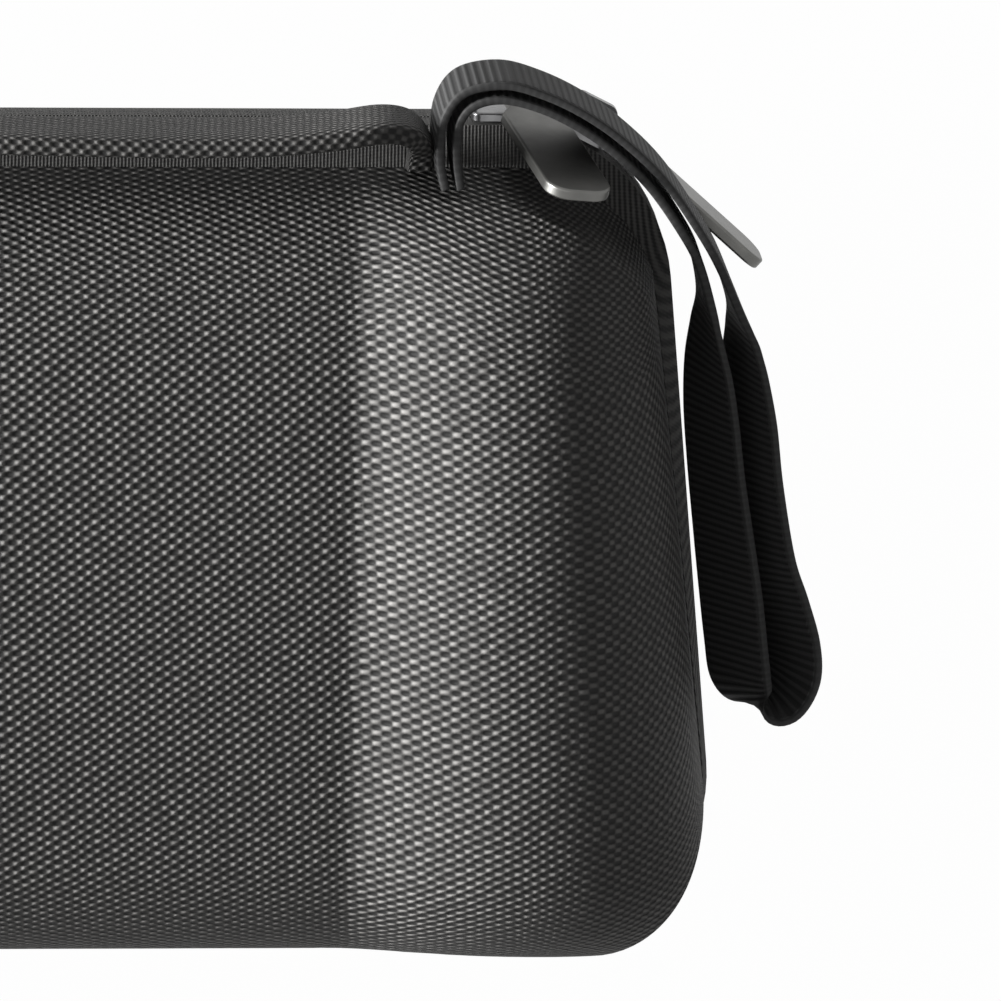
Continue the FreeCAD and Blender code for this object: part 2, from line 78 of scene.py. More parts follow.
# Studio: one soft lamp low on the left and a weak one on the camera's side, over a grey floor.
# Floor and surround show white to the camera and in reflections. Matt surfaces get no light from that.
def lamp(name, towards, distance, size, power):
    """A square soft lamp that shines on the case from the given side."""
    data = bpy.data.lights.new(name, "AREA")
    data.shape = "SQUARE"
    data.size = size
    data.energy = power
    made = bpy.data.objects.new(name, data)
    side = Vector(towards).normalized()
    made.location = middle + side * distance
    made.rotation_mode = "QUATERNION"
    made.rotation_quaternion = side.to_track_quat("Z", "Y")
    bpy.context.scene.collection.objects.link(made)


KEY_SIDE = (-0.965, 0.155, 0.224)
KEY_DISTANCE = 1.35
KEY_SIZE = 0.40
KEY_POWER = 84.0
FILL_SIDE = (0.0, 0.02, 1.0)
FILL_DISTANCE = 1.6
FILL_SIZE = 0.8
FILL_POWER = 2.6
lamp("key", KEY_SIDE, KEY_DISTANCE, KEY_SIZE, KEY_POWER)
lamp("fill", FILL_SIDE, FILL_DISTANCE, FILL_SIZE, FILL_POWER)


def seen_rays(tree):
    """One where the camera, a reflection or a glass looks, nought for the light itself."""
    path = tree.nodes.new("ShaderNodeLightPath")
    added = path.outputs["Is Camera Ray"]
    for name in ("Is Glossy Ray", "Is Transmission Ray"):
        both = tree.nodes.new("ShaderNodeMath")
        both.operation = "MAXIMUM"
        tree.links.new(added, both.inputs[0])
        tree.links.new(path.outputs[name], both.inputs[1])
        added = both.outputs[0]
    return added


WORLD_LIGHT = 0.075
world = bpy.data.worlds.new("studio")
world.use_nodes = True
tree = world.node_tree
surround = tree.nodes["Background"]
surround.inputs["Color"].default_value = (1, 1, 1, 1)
strength = tree.nodes.new("ShaderNodeMapRange")
strength.inputs["To Min"].default_value = WORLD_LIGHT
strength.inputs["To Max"].default_value = 1.0
tree.links.new(seen_rays(tree), strength.inputs["Value"])
tree.links.new(strength.outputs[0], surround.inputs["Strength"])
bpy.context.scene.world = world

FLOOR_REACH = 6.0
FLOOR_GREY = 0.34
FLOOR_WHITENESS = 0.985
bm = bmesh.new()
bmesh.ops.create_grid(bm, x_segments=1, y_segments=1, size=FLOOR_REACH)
mesh = bpy.data.meshes.new("floor")
bm.to_mesh(mesh)
bm.free()
floor = bpy.data.objects.new("floor", mesh)
bpy.context.scene.collection.objects.link(floor)
paint = bpy.data.materials.new("floor_paint")
paint.use_nodes = True
tree = paint.node_tree
matt = tree.nodes["Principled BSDF"]
matt.inputs["Base Color"].default_value = (FLOOR_GREY, FLOOR_GREY, FLOOR_GREY, 1)
matt.inputs["Roughness"].default_value = 1.0
matt.inputs["Specular IOR Level"].default_value = 0.0
glow = tree.nodes.new("ShaderNodeEmission")
glow.inputs["Color"].default_value = (1, 1, 1, 1)
share = tree.nodes.new("ShaderNodeMath")
share.operation = "MULTIPLY"
share.inputs[1].default_value = FLOOR_WHITENESS
tree.links.new(seen_rays(tree), share.inputs[0])
blend_in = tree.nodes.new("ShaderNodeMixShader")
tree.links.new(share.outputs[0], blend_in.inputs["Fac"])
tree.links.new(matt.outputs[0], blend_in.inputs[1])
tree.links.new(glow.outputs[0], blend_in.inputs[2])
tree.links.new(blend_in.outputs[0], tree.nodes["Material Output"].inputs["Surface"])
mesh.materials.append(paint)


# Lid and base shells: coarse woven fabric moulded over a foam core, with a smooth lining inside.
# The cloth is stretched over the side bulges and pulled down round the walls to the rims.
class Value:
    """A number that changes over a surface. Operators on it add Math nodes."""

    def __init__(self, finish, socket):
        self.finish = finish
        self.socket = socket

    def math(self, operation, *others):
        inputs = dict(enumerate((self,) + others))
        return self.finish.node("ShaderNodeMath", {"operation": operation}, inputs)

    def __add__(self, other):
        return self.math("ADD", other)

    __radd__ = __add__

    def __sub__(self, other):
        return self.math("SUBTRACT", other)

    def __rsub__(self, other):
        return self.finish.node("ShaderNodeMath", {"operation": "SUBTRACT"}, {0: other, 1: self})

    def __mul__(self, other):
        return self.math("MULTIPLY", other)

    __rmul__ = __mul__

    def __truediv__(self, other):
        return self.math("DIVIDE", other)

    def __pow__(self, other):
        return self.math("POWER", other)

    def cos(self):
        return self.math("COSINE")

    def abs(self):
        return self.math("ABSOLUTE")

    def floor(self):
        return self.math("FLOOR")

    def sign(self):
        return self.math("SIGN")

    def root(self):
        return self.math("SQRT")

    def over(self, other):
        return self.math("GREATER_THAN", other)

    def least(self, other):
        return self.math("MINIMUM", other)

    def most(self, other):
        return self.math("MAXIMUM", other)

    def ramp(self, low, high):
        """Nought below low, one above high, smooth between."""
        return self.finish.node("ShaderNodeMapRange", {"interpolation_type": "SMOOTHSTEP"},
                                {"Value": self, "From Min": low, "From Max": high})


class Finish:
    """A material under construction."""

    def __init__(self, name, roughness=0.8, specular=0.5):
        self.material = bpy.data.materials.new(name)
        self.material.use_nodes = True
        self.tree = self.material.node_tree
        self.shader = self.tree.nodes["Principled BSDF"]
        self.set("Roughness", roughness)
        self.set("Specular IOR Level", specular)

    def node(self, kind, settings, inputs, out=0):
        made = self.tree.nodes.new(kind)
        for name, value in settings.items():
            setattr(made, name, value)
        for name, value in inputs.items():
            self.feed(made.inputs[name], value)
        return Value(self, made.outputs[out])

    def feed(self, socket, value):
        if isinstance(value, Value):
            self.tree.links.new(value.socket, socket)
        elif hasattr(value, "__len__") and socket.type == "RGBA":
            socket.default_value = tuple(value) + (1.0,)
        else:
            socket.default_value = value

    def set(self, name, value):
        self.feed(self.shader.inputs[name], value)

    def coordinate(self, name):
        return self.node("ShaderNodeTexCoord", {}, {}, name)

    def place(self):
        """x, y and z on the object, in millimetres."""
        split = self.tree.nodes.new("ShaderNodeSeparateXYZ")
        self.feed(split.inputs[0], self.coordinate("Object"))
        return [Value(self, split.outputs[i]) * 1000.0 for i in range(3)]

    def attribute(self, name):
        """A length kept on the piece's points, in millimetres."""
        return self.node("ShaderNodeAttribute", {"attribute_name": name}, {}, "Fac") * 1000.0

    def vector(self, x, y, z=0.0):
        return self.node("ShaderNodeCombineXYZ", {}, {0: x, 1: y, 2: z})

    def vector_math(self, operation, one, two, out=0):
        return self.node("ShaderNodeVectorMath", {"operation": operation}, {0: one, 1: two}, out)

    def random(self, x, y):
        """One number for each whole x and y."""
        settings = {"noise_dimensions": "2D"}
        return self.node("ShaderNodeTexWhiteNoise", settings, {"Vector": self.vector(x, y)}, "Value")

    def noise(self, vector, scale, detail=2.0):
        inputs = {"Vector": vector, "Scale": scale, "Detail": detail}
        return self.node("ShaderNodeTexNoise", {}, inputs, "Fac")

    def mix(self, share, one, two):
        return self.node("ShaderNodeMix", {"data_type": "RGBA"}, {0: share, 6: one, 7: two}, 2)

    def bump(self, height_mm):
        """Relief given as a height in millimetres."""
        self.set("Normal", self.node("ShaderNodeBump", {}, {
            "Strength": 1.0, "Distance": 0.001, "Height": height_mm}))


TURN = 2.0 * math.pi
# The weave's repeat in millimetres, its slant, how its rows wander and the colours of its yarn: black with
# painted shade in the holes, lighter with a painted sheen on the crowns.
WEAVE_PITCH = 2.6
WEAVE_ROWS = 1.8
WEAVE_SKEW = math.radians(2.6)
WANDER_RATE = 0.25
WANDER_REACH = 0.9
CROWN_SHARPNESS = 1.15
YARN_IN_HOLE_SHADE = (0.0080, 0.0078, 0.0076)
YARN_WITH_CROWN_SHEEN = (0.215, 0.209, 0.202)


def coarse_weave(finish, across, along, pitch=WEAVE_PITCH, rows=WEAVE_ROWS):
    """Crowns and holes of the coarse cloth: height from nought to one, and each crown's own shade."""
    a = across * math.cos(WEAVE_SKEW) + along * math.sin(WEAVE_SKEW)
    b = along * math.cos(WEAVE_SKEW) - across * math.sin(WEAVE_SKEW)
    wander = finish.noise(finish.vector(a * WANDER_RATE, b * WANDER_RATE), 1.0)
    a = a + (wander - 0.5) * WANDER_REACH
    checks = (a * (TURN / pitch)).cos() * (b * (TURN / rows)).cos()
    crown = (checks * 0.5 + 0.5) ** CROWN_SHARPNESS
    shade = finish.random((a * (2.0 / pitch) + 0.5).floor(), (b * (2.0 / rows) + 0.5).floor())
    return crown, shade


# The form of the shells that the cloth follows, in millimetres, and how it is stretched and draped.
PANEL_EDGE = 91.5
BULGE_CREST = 118.0
PANEL_HEIGHT = 34.8
CREST_HEIGHT = 45.2
CORNER_Y = 36.0
MIDDLE_Y = -4.0
BULGE_STRETCH = 1.16
WALL_DRAPE = 0.9
SLACK = 2.5
EASE = 8.0
SHELL_BOW = 0.010
INNER_SHARE = (0.9, 0.6, 0.0)
CLOTH_RELIEF = 0.42
LINING_RELIEF = 0.10
LINING_GRAIN = 900.0
LINING_DARK = (0.026, 0.026, 0.028)
LINING_LIGHT = (0.062, 0.062, 0.065)


def shell_fabric(name, roof_low, roof_high, level, sign):
    """Moulded cloth outside and lining inside. The weave follows the walls down from the roof."""
    f = Finish(name, roughness=0.72, specular=0.22)
    x, y, z = f.place()
    side = x.abs()
    roof = side.ramp(PANEL_EDGE, BULGE_CREST) * (roof_high - roof_low) + roof_low
    drop = (roof - (z - level) * sign - SLACK).most(0.0)
    past_x = (side - BULGE_CREST).most(0.0)
    off_y = y - MIDDLE_Y
    past_y = (off_y.abs() - CORNER_Y).most(0.0)
    reach = (past_x * past_x + past_y * past_y).root() + EASE
    stretched = side.least(PANEL_EDGE) + (side - PANEL_EDGE).most(0.0) / BULGE_STRETCH
    across = x.sign() * (stretched + past_x / reach * drop * WALL_DRAPE)
    along = y + off_y.sign() * past_y / reach * drop * WALL_DRAPE
    crown, shade = coarse_weave(f, across, along)
    # Painted sheen on the weave's crowns and painted shade in its holes, mixed into the cloth's colour.
    lit = crown.ramp(0.22, 0.97) * (shade * 0.5 + 0.66)
    cloth = f.mix(lit, YARN_IN_HOLE_SHADE, YARN_WITH_CROWN_SHEEN)
    # A face is on the outside where it looks away from a point well within the case.
    where = f.coordinate("Object")
    inner = f.vector_math("MULTIPLY", where, INNER_SHARE)
    inner = f.vector_math("ADD", inner, (0, 0, ZIP_PLANE - sign * SHELL_BOW))
    from_inner = f.vector_math("SUBTRACT", where, inner)
    outwards = f.vector_math("DOT_PRODUCT", from_inner, f.coordinate("Normal"), "Value")
    outside = outwards.over(0.0)
    pile = f.noise(where, LINING_GRAIN, 3.0)
    lining = f.mix(pile, LINING_DARK, LINING_LIGHT)
    f.set("Base Color", f.mix(outside, lining, cloth))
    f.bump(crown * outside * CLOTH_RELIEF + pile * LINING_RELIEF)
    return f.material


def dress(node, material):
    """Gives a solid of the frame its finish."""
    nodes[node].data.materials.clear()
    nodes[node].data.materials.append(material)


LEVEL = ZIP_PLANE * 1000.0
dress("lid_shell", shell_fabric("lid_cloth", PANEL_HEIGHT, CREST_HEIGHT, LEVEL, 1.0))
dress("base_shell", shell_fabric("base_cloth", LEVEL, LEVEL, LEVEL, -1.0))


# Seam binding inside both rims: a narrow ribbed tape that covers the raw edge of the shell's laminate.
# Its ribs are drawn on a slant, so that they show on every side of the case alike.
def ribbed_tape(name, dark, light, rib):
    f = Finish(name, roughness=0.85, specular=0.2)
    x, y, z = f.place()
    run = x + y
    ribs = (run * (TURN / rib)).cos() * 0.5 + 0.5
    fibre = f.noise(f.vector(x * 3.0, y * 3.0, z * 3.0), 1.0)
    f.set("Base Color", f.mix(ribs * 0.7 + fibre * 0.3, dark, light))
    f.bump(ribs * 0.14 + fibre * 0.05)
    return f.material


binding = ribbed_tape("binding_tape", (0.012, 0.012, 0.012), (0.045, 0.045, 0.045), 0.9)
for node in ("lid_seam_binding", "base_seam_binding"):
    dress(node, binding)


# Zip tape: a fine twill tape that hides the coil, with two rows of stitches that hold it.
# It turns in from the zip to the rim, where it is sewn to the shell.
TWILL_PITCH = 0.55
COUNTER_PITCH = 0.7
STITCH_ROWS = (1.3, 2.7)
STITCH_PITCH = 2.2
THREAD_SHARPNESS = 3.2


def zip_tape():
    f = Finish("zip_tape", roughness=0.8, specular=0.25)
    x, y, z = f.place()
    slant = (x + y * 0.35 + z * 0.8) * (TURN / TWILL_PITCH)
    counter = (x * 0.2 - y + z) * (TURN / COUNTER_PITCH)
    twill = slant.cos() * 0.5 + 0.5
    fibre = f.noise(f.vector(x, y, z), 1.6, 4.0)
    tone = twill * 0.55 + (counter.cos() * 0.5 + 0.5) * 0.15 + fibre * 0.4
    from_zip = (z - LEVEL).abs()
    from_row = (from_zip - STITCH_ROWS[0]).abs().least((from_zip - STITCH_ROWS[1]).abs())
    row = (1.0 - from_row * THREAD_SHARPNESS).most(0.0)
    dash = ((x - y) * (TURN / STITCH_PITCH)).cos().ramp(-0.75, -0.45)
    thread = row * dash
    cloth = f.mix(tone.ramp(0.2, 0.9), (0.024, 0.024, 0.024), (0.160, 0.157, 0.152))
    f.set("Base Color", f.mix(thread.ramp(0.1, 0.6), cloth, (0.060, 0.060, 0.060)))
    f.bump(twill * 0.09 + fibre * 0.05 + thread * 0.18 - row * 0.06)
    return f.material


tape_cloth = zip_tape()
dress("lid_zip_tape", tape_cloth)
dress("base_zip_tape", tape_cloth)


# Zip coils: two rows of nylon loops that mesh at the zip's plane, round three sides of the case.
# Each loop is one rounded bar here, sewn to its tape at its outer end.
KEEL_TOP = 0.065
KEEL_BOTTOM = -0.070
KEEL_HIGH = 0.1426
KEEL_LOW = 0.150
KEEL_R_TOP = 0.027
KEEL_R_BOTTOM = 0.028
KEEL_WAIST = -0.040
KEEL_RISE = 0.075
CHAIN_END = 0.110


def half_outline(top, bottom, high, low, r_top, r_bottom):
    """The right half of a case outline: straights and arcs, each a length and a rule for its points."""
    lean = math.atan2(low - high, KEEL_RISE)
    up = Vector((-math.sin(lean), math.cos(lean)))
    out = Vector((math.cos(lean), math.sin(lean)))
    centres = []
    for r, y in ((r_top, top - r_top), (r_bottom, bottom + r_bottom)):
        foot = Vector((low, KEEL_WAIST)) - out * r
        centres.append(foot + up * ((y - foot.y) / up.y))
    start = math.pi / 2.0

    def straight(one, two, normal):
        return (two - one).length, lambda s: (one.lerp(two, s), normal)

    def bend(centre, r, a0, a1):
        def at(s):
            a = a0 + (a1 - a0) * s
            n = Vector((math.cos(a), math.sin(a)))
            return centre + n * r, n
        return abs(a1 - a0) * r, at

    top_c, low_c = centres
    return [
        straight(Vector((0, top)), Vector((top_c.x, top)), Vector((0, 1))),
        bend(top_c, r_top, start, lean),
        straight(top_c + out * r_top, low_c + out * r_bottom, out),
        bend(low_c, r_bottom, lean, -start),
        straight(Vector((low_c.x, bottom)), Vector((0, bottom)), Vector((0, -1))),
    ]


def walk(outline, step, shift=0.0):
    """Evenly spaced points round the outline, both halves, each with its outward direction."""
    total = sum(length for length, at in outline)
    count = int(total / step)
    found = []
    for i in range(count):
        s = (i + 0.5 + shift) * total / count
        for length, at in outline:
            if s <= length:
                point, normal = at(s / length)
                found.append((point, normal))
                found.append((Vector((-point.x, point.y)), Vector((-normal.x, normal.y))))
                break
            s -= length
    return found


def new_piece(name, bm, material):
    """A piece of the case from a finished bmesh."""
    mesh = bpy.data.meshes.new(name)
    bm.to_mesh(mesh)
    bm.free()
    mesh.shade_smooth()
    made = bpy.data.objects.new(name, mesh)
    bpy.context.scene.collection.objects.link(made)
    mesh.materials.append(material)
    return made


COIL_PITCH = 0.00148
COIL_WIRE = 0.0011
COIL_DEEP = 0.0018
COIL_REACH = 0.0031
COIL_MESH = 0.00025
COIL_ROUND = 0.00034
COIL_STAGGER = 0.25
HINGE_SIDE = 0.005
TAPE_THICK = 0.0006


def coil_nylon():
    f = Finish("coil_nylon", roughness=0.42, specular=0.5)
    x, y, z = f.place()
    wear = f.noise(f.vector(x, y, z), 0.8, 3.0)
    f.set("Base Color", f.mix(wear, (0.014, 0.014, 0.014), (0.034, 0.034, 0.034)))
    f.set("Roughness", wear * 0.25 + 0.32)
    return f.material


def make_coil(name, node, body, sign):
    bm = bmesh.new()
    keel = half_outline(KEEL_TOP, KEEL_BOTTOM, KEEL_HIGH, KEEL_LOW, KEEL_R_TOP, KEEL_R_BOTTOM)
    tall = COIL_REACH + COIL_MESH
    mid_z = ZIP_PLANE + sign * (COIL_REACH - COIL_MESH) / 2.0
    for point, normal in walk(keel, COIL_PITCH, COIL_STAGGER * sign):
        if point.y < KEEL_BOTTOM + HINGE_SIDE and abs(point.x) < CHAIN_END:
            continue
        n = Vector((normal.x, normal.y, 0))
        t = Vector((-normal.y, normal.x, 0))
        turned = Matrix((t, n, Vector((0, 0, 1)))).transposed().to_4x4()
        centre = Vector((point.x, point.y, mid_z)) - n * (COIL_DEEP / 2.0 + TAPE_THICK)
        scale = Matrix.Diagonal((COIL_WIRE, COIL_DEEP, tall, 1.0))
        bmesh.ops.create_cube(bm, size=1.0, matrix=Matrix.Translation(centre) @ turned @ scale)
    bmesh.ops.bevel(bm, geom=bm.edges[:], offset=COIL_ROUND, segments=1, profile=0.5,
                    affect="EDGES", material=-1)
    coil = new_piece(name, bm, nylon)
    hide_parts(node)
    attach(coil, body)


nylon = coil_nylon()
make_coil("lid_coil_loops", "lid_zip_coil", "lid", 1.0)
make_coil("base_coil_loops", "base_zip_coil", "base", -1.0)


# End stops, sliders and pull tabs: dark plated metal with a faint cloud and a fine grain.
# The pulls are flat tabs, a little duller than the sliders they hang on.
def gunmetal(name, dark, light, rough):
    f = Finish(name, roughness=rough, specular=0.5)
    x, y, z = f.place()
    f.set("Metallic", 1.0)
    cloud = f.noise(f.vector(x, y, z), 0.35, 3.0)
    grain = f.noise(f.vector(x * 0.6, y * 0.6, z * 7.0), 1.0, 2.0)
    f.set("Base Color", f.mix(cloud, dark, light))
    f.set("Roughness", grain * 0.16 + (rough - 0.08))
    f.bump(grain * 0.008)
    return f.material


plated = gunmetal("slider_metal", (0.10, 0.10, 0.105), (0.19, 0.19, 0.19), 0.30)
pull_metal = gunmetal("pull_metal", (0.105, 0.105, 0.10), (0.17, 0.168, 0.16), 0.42)
for node in ("left_slider", "right_slider", "lid_zip_stops", "base_zip_stops"):
    dress(node, plated)
for node in ("left_pull", "right_pull"):
    dress(node, pull_metal)


# Bands of the case are swept: a closed section is drawn out along a row of frames.
# Each point keeps how far along and how far across the band it lies, for the weave.
def smooth_run(points, parts):
    """A smooth open line through rows of numbers, with so many parts between two of them."""
    found = []
    last = len(points) - 1
    for i in range(last):
        p0, p1, p2, p3 = (points[max(i - 1, 0)], points[i], points[i + 1], points[min(i + 2, last)])
        for k in range(parts):
            t = k / parts
            found.append(tuple(
                0.5 * (2 * b + (c - a) * t + (2 * a - 5 * b + 4 * c - d) * t * t
                       + (3 * b - a - 3 * c + d) * t ** 3)
                for a, b, c, d in zip(p0, p1, p2, p3)))
    found.append(tuple(points[last]))
    return found


def sweep(name, section, frames, material, around=False):
    """A closed skin from one section, (across, through) in its own plane, carried from frame to frame.
    With around, the points keep their way round the section's edge in place of across it."""
    bm = bmesh.new()
    along = bm.verts.layers.float.new("along")
    across = bm.verts.layers.float.new("across")
    ring = []
    girth = 0.0
    for i, (a, b) in enumerate(section):
        v = bm.verts.new(frames[0] @ Vector((0, a, b)))
        if i:
            girth += math.dist(section[i - 1], (a, b))
        v[across] = girth if around else a
        ring.append(v)
    face = bm.faces.new(ring)
    edges = face.edges[:]
    length = 0.0
    for before, after in zip(frames, frames[1:]):
        length += (after.translation - before.translation).length
        drawn = bmesh.ops.extrude_edge_only(bm, edges=edges)["geom"]
        fresh = [g for g in drawn if isinstance(g, bmesh.types.BMVert)]
        edges = [g for g in drawn if isinstance(g, bmesh.types.BMEdge)]
        bmesh.ops.transform(bm, matrix=after @ before.inverted(), verts=fresh)
        for v in fresh:
            v[along] = length
    bmesh.ops.edgeloop_fill(bm, edges=edges)
    bmesh.ops.recalc_face_normals(bm, faces=bm.faces[:])
    return new_piece(name, bm, material)


def flat_section(width, thick, sides=10, edge_round=2.4):
    """A flat band's section with round edges: points evenly turned on a squared oval."""
    found = []
    for k in range(4 * sides):
        a = TURN * (k + 0.5) / (4 * sides)
        c, s = math.cos(a), math.sin(a)
        found.append((math.copysign(abs(c) ** (1.0 / edge_round), c) * width / 2.0,
                      math.copysign(abs(s) ** (1.0 / edge_round), s) * thick / 2.0))
    return found


def frame_at(centre, along, across, wide=1.0, thick=1.0):
    """Place of a section: its width runs across, its thickness square to both."""
    t = along.normalized()
    w = (across - t * across.dot(t)).normalized()
    n = t.cross(w)
    turned = Matrix((t, w, n)).transposed().to_4x4()
    return Matrix.Translation(centre) @ turned @ Matrix.Diagonal((1.0, wide, thick, 1.0))


def heading(line, i):
    """The way a line goes at one of its points, in its first two numbers."""
    before = line[max(i - 1, 0)]
    after = line[min(i + 1, len(line) - 1)]
    return after[0] - before[0], after[1] - before[1]


# Carry handle: a padded band in the case's own cloth, its two ends gathered into the lid's seam.
# Half of its run is given: x and y, and its lower and upper edges over the zip's plane, in millimetres.
HANDLE_THICK = 0.0034
HANDLE_FULL = 0.0224
HANDLE_TILT = 0.094
HANDLE_SWELL = 0.3
# Handle crowns: painted sheen on the yarn, kept darker than the shell's crowns as painted shade on the
# handle.
HANDLE_SHEEN_IN_PAINTED_SHADE = (0.150, 0.146, 0.141)
HANDLE_RUN = [
    (101.8, 59.6, 8.6, 13.2), (101.8, 62.4, 8.6, 16.5), (101.3, 65.4, 9.0, 22.0),
    (99.2, 68.1, 9.3, 27.5), (95.0, 69.0, 9.5, 30.5), (88.0, 68.1, 9.6, 31.6), (78.0, 67.2, 9.6, 32.0),
    (66.0, 66.9, 9.6, 32.0), (54.0, 67.0, 9.6, 32.0), (38.0, 67.3, 9.6, 32.0), (20.0, 67.4, 9.6, 32.0),
    (0.0, 67.4, 9.6, 32.0)]


def handle_cloth():
    f = Finish("handle_cloth", roughness=0.75, specular=0.2)
    along = f.attribute("along")
    around = f.attribute("across")
    crown, shade = coarse_weave(f, along, around, 2.1, 1.7)
    # Painted sheen on the crowns and painted shade in the holes, mixed into the handle's colour.
    lit = crown.ramp(0.2, 0.95) * (shade * 0.4 + 0.7)
    f.set("Base Color", f.mix(lit, YARN_IN_HOLE_SHADE, HANDLE_SHEEN_IN_PAINTED_SHADE))
    f.bump(crown * 0.28)
    return f.material


def make_handle():
    row = [(-x, y, a, b) for x, y, a, b in HANDLE_RUN] + HANDLE_RUN[:-1][::-1]
    line = smooth_run(row, 6)
    frames = []
    for i, (x, y, a, b) in enumerate(line):
        dx, dy = heading(line, i)
        centre = Vector((x, y, LEVEL + (a + b) / 2.0)) / 1000.0
        gather = (b - a) / 1000.0 / HANDLE_FULL
        wide = Vector((0, HANDLE_TILT * max(0.0, 2.0 * gather - 1.0), 1))
        thick = 1.0 + HANDLE_SWELL * (1 - gather)
        frames.append(frame_at(centre, Vector((dx, dy, 0)), wide, gather, thick))
    section = flat_section(HANDLE_FULL, HANDLE_THICK, 12, 2.6)
    start = len(section) // 2
    handle = sweep("handle_band", section[start:] + section[:start], frames, handle_cloth(), around=True)
    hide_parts("carry_handle")
    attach(handle, "lid")


make_handle()


# Wrist strap: a loop of ribbed nylon webbing, both ends sewn into the lid's seam beside the handle.
# Its run goes down the right side and back: x and y in millimetres, and how far it leans to the right.
STRAP_WIDE = 0.015
STRAP_THICK = 0.0015
STRAP_LOW = 0.0084
STRAP_RIB = 1.25
STRAP_RUN = [
    (105.1, 59.4, 0), (104.2, 64.0, 0), (104.6, 70.2, 0), (107.6, 74.6, 0), (113.9, 75.9, 0),
    (120.1, 74.3, 0), (126.5, 71.2, 0), (132.7, 66.8, 0), (138.9, 60.8, 0), (144.6, 52.7, 0),
    (148.1, 46.6, 0), (150.8, 39.0, 0.05), (150.9, 34.5, 0.2), (150.5, 29.6, 0.33), (150.5, 21.2, 0.45),
    (151.4, 11.1, 0.48), (153.1, -1.0, 0.52), (155.1, -8.2, 0.55), (156.8, -15.0, 0.57),
    (157.1, -20.6, 0.57), (155.2, -24.9, 0.56), (152.2, -25.9, 0.56), (149.9, -23.0, 0.56),
    (148.9, -17.2, 0.56), (147.7, -8.0, 0.56), (146.4, 3.0, 0.52), (145.4, 12.0, 0.48),
    (144.6, 21.2, 0.45), (144.6, 29.0, 0.36), (145.4, 35.0, 0.2), (146.2, 40.0, 0.05), (145.0, 46.4, 0),
    (142.7, 51.2, 0), (137.2, 59.2, 0), (131.3, 65.1, 0), (125.4, 69.3, 0), (119.5, 72.2, 0),
    (113.7, 73.6, 0), (109.2, 72.6, 0), (107.0, 69.6, 0), (106.7, 64.6, 0), (107.4, 59.4, 0)]


def webbing():
    f = Finish("webbing", roughness=0.7, specular=0.25)
    along = f.attribute("along")
    across = f.attribute("across")
    ribs = (along * (TURN / STRAP_RIB)).cos() * 0.5 + 0.5
    selvedge = across.abs().ramp(6.6, 7.0)
    fibre = f.noise(f.vector(along * 0.4, across * 4.0), 1.0, 3.0)
    rise = ribs.ramp(0.25, 1.0) * 0.8 + fibre * 0.2
    ground = f.mix(rise, (0.0045, 0.0045, 0.0045), (0.040, 0.040, 0.040))
    f.set("Base Color", f.mix(selvedge * (fibre * 0.6 + 0.3), ground, (0.035, 0.035, 0.035)))
    f.bump(ribs * 0.22 * (1.0 - selvedge) + fibre * 0.04)
    return f.material


def make_strap():
    line = smooth_run(STRAP_RUN, 8)
    frames = []
    for i, (x, y, lean) in enumerate(line):
        dx, dy = heading(line, i)
        wide = Vector((lean, 0, math.sqrt(1.0 - lean * lean)))
        foot = Vector((x / 1000.0, y / 1000.0, ZIP_PLANE + STRAP_LOW))
        frames.append(frame_at(foot + wide * (STRAP_WIDE / 2.0), Vector((dx, dy, 0)), wide))
    strap = sweep("strap_loop", flat_section(STRAP_WIDE, STRAP_THICK, 8, 3.4), frames, webbing())
    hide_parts("wrist_strap")
    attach(strap, "lid")


make_strap()


# Hinge strip: a doubled cloth strip sewn to both rims on the long side away from the handle.
def plain_cloth(name, dark, light, thread):
    f = Finish(name, roughness=0.85, specular=0.2)
    x, y, z = f.place()
    warp = (x * (TURN / thread)).cos() * (z * (TURN / thread)).cos() * 0.5 + 0.5
    fibre = f.noise(f.vector(x, y, z), 2.0, 3.0)
    f.set("Base Color", f.mix(warp * 0.6 + fibre * 0.4, dark, light))
    f.bump(warp * 0.08)
    return f.material


STRIP_HALF = 0.1075
STRIP_THICK = 0.0009
STRIP_BOW = 0.8
STRIP_ROWS = 12
STRIP_COLUMNS = 24
STRIP_THREAD = 0.9


def make_hinge():
    strip_low, strip_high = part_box("hinge_strip")
    reach = (strip_high.z - strip_low.z) / 2.0
    outer_y = strip_low.y
    edge_y = strip_high.y - STRIP_THICK
    profile = []
    for k in range(STRIP_ROWS + 1):
        u = -1.0 + 2.0 * k / STRIP_ROWS
        profile.append((edge_y + (outer_y - edge_y) * (1.0 - u * u) ** STRIP_BOW, ZIP_PLANE + reach * u))
    section = profile + [(y + STRIP_THICK, z) for y, z in reversed(profile)]
    frames = [Matrix.Translation((-STRIP_HALF + 2.0 * STRIP_HALF * k / STRIP_COLUMNS, 0, 0))
              for k in range(STRIP_COLUMNS + 1)]
    cloth = plain_cloth("hinge_weave", (0.015, 0.015, 0.015), (0.06, 0.06, 0.06), STRIP_THREAD)
    strip = sweep("hinge_cloth", section, frames, cloth)
    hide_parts("hinge_strip")
    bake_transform(strip)


make_hinge()


# Foam insert: a moulded tray with a short-pile cover, shaped for the console it holds.
# Its recess and finger scoops are in the solid, which gets the cover's finish here.
def short_pile():
    f = Finish("short_pile", roughness=0.95, specular=0.1)
    x, y, z = f.place()
    where = f.vector(x, y, z)
    pile = f.noise(where, 2.2, 4.0)
    nap = f.noise(where, 0.03, 2.0)
    f.set("Base Color", f.mix(pile * 0.6 + nap * 0.4, (0.022, 0.022, 0.024), (0.075, 0.075, 0.080)))
    f.bump(pile * 0.16)
    return f.material


pile_cover = short_pile()
dress("foam_insert", pile_cover)


